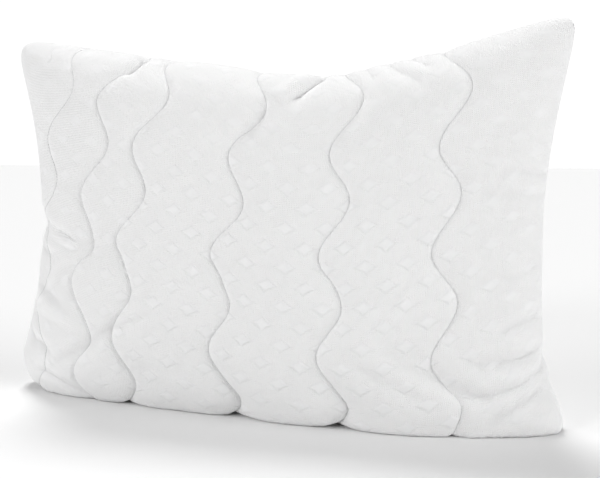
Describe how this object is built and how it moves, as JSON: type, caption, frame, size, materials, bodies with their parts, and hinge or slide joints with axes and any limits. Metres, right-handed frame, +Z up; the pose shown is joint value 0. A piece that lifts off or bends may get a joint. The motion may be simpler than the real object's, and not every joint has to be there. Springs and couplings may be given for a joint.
{
  "type": "bed pillow",
  "caption": "White bed pillow in a wave-quilted jacquard knit cover, standing on its long edge, with a zip hidden in the bottom seam.",
  "frame": {"origin": "middle of the pillow's footprint, at the foot's height", "axes": "+X along the long side, -Y out of the quilted front, +Z up towards the top edge"},
  "size_m": [0.564, 0.1578, 0.369],
  "materials": {
    "jacquard_knit": "matte",
    "wadding": "matte",
    "lining_cloth": "matte",
    "case_cloth": "matte",
    "fibre": "matte",
    "sewing_thread": "satin",
    "zip_tape": "matte",
    "zip_coil": "satin",
    "zip_metal": "satin",
    "label_satin": "satin"
  },
  "bodies": {
    "pillow": {"care_label": "label_satin", "cover_knit_back": "jacquard_knit", "cover_knit_front": "jacquard_knit", "cover_lining_back": "lining_cloth", "cover_lining_front": "lining_cloth", "cover_wadding_back": "wadding", "cover_wadding_front": "wadding", "fibre_fill": "fibre", "inner_case_back": "case_cloth", "inner_case_front": "case_cloth", "quilt_thread_back_a": "sewing_thread", "quilt_thread_back_b": "sewing_thread", "quilt_thread_back_c": "sewing_thread", "quilt_thread_back_d": "sewing_thread", "quilt_thread_back_e": "sewing_thread", "quilt_thread_back_f": "sewing_thread", "quilt_thread_front_a": "sewing_thread", "quilt_thread_front_b": "sewing_thread", "quilt_thread_front_c": "sewing_thread", "quilt_thread_front_d": "sewing_thread", "quilt_thread_front_e": "sewing_thread", "quilt_thread_front_f": "sewing_thread", "seam_thread_left": "sewing_thread", "seam_thread_right": "sewing_thread", "seam_thread_top": "sewing_thread", "zip_bottom_stop": "zip_metal", "zip_coil_back": "zip_coil", "zip_coil_front": "zip_coil", "zip_tape_back": "zip_tape", "zip_tape_front": "zip_tape", "zip_top_stop_back": "zip_metal", "zip_top_stop_front": "zip_metal"},
    "slider": {"zip_slider": "zip_metal"},
    "puller": {"zip_puller": "zip_metal"}
  },
  "joints": [
    {"name": "zip_slide", "type": "slide", "parent": "pillow", "child": "slider", "axis": [-1, 0, 0], "range_m": [0, 0.32]},
    {"name": "puller_hinge", "type": "hinge", "parent": "slider", "child": "puller", "pos_m": [0.164, 0, 0.001], "axis": [0, -1, 0], "range_deg": [0, 150]}
  ]
}
